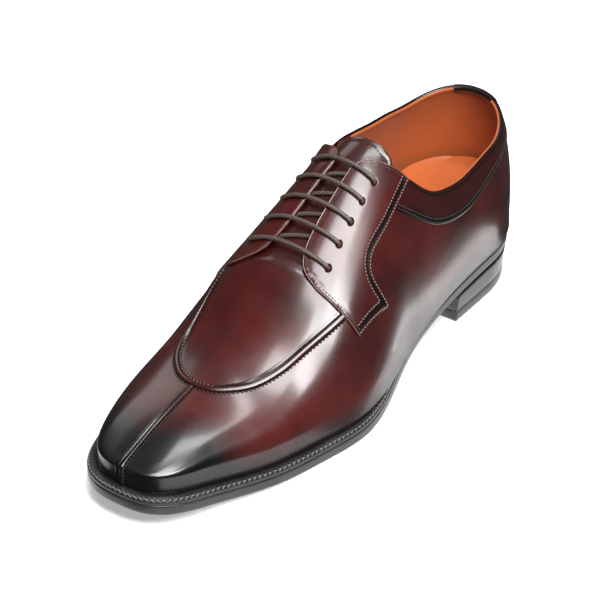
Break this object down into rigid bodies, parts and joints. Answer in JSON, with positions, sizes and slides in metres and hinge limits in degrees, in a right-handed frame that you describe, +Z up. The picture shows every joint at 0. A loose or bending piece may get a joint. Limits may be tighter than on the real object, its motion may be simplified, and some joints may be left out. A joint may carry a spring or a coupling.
{
  "type": "split toe derby shoe",
  "caption": "Left leather derby shoe with a split toe, raised apron seam, open lacing and a stacked heel on a welted sole.",
  "frame": {"origin": "on the ground, under the middle of the shoe's outline", "axes": "-Y towards the toe, +X towards the lateral (outer) side, +Z up"},
  "size_m": [0.109, 0.3034, 0.1179],
  "materials": {
    "sole_leather": "charcoal black edge finish, semi-gloss",
    "welt_leather": "black, stitched along its edge",
    "heel_leather": "charcoal black, polished edge",
    "top_lift_rubber": "matte black",
    "insole_leather": "natural tan sock, matte",
    "upper_calf": "burgundy calf burnished to black at the toe and edges, high gloss",
    "facing_calf": "burgundy calf, high gloss",
    "collar_calf": "burgundy calf, darker towards its seam, gloss",
    "tongue_calf": "burgundy calf, satin",
    "waxed_lace": "round waxed cotton cord, dark brown"
  },
  "bodies": {
    "root": {"outsole": "sole_leather", "welt": "welt_leather", "heel_stack": "heel_leather", "top_lift": "top_lift_rubber", "insole": "insole_leather", "upper": "upper_calf", "facing_lateral": "facing_calf", "facing_medial": "facing_calf", "collar_panel": "collar_calf", "tongue": "tongue_calf", "laces": "waxed_lace"}
  },
  "joints": []
}
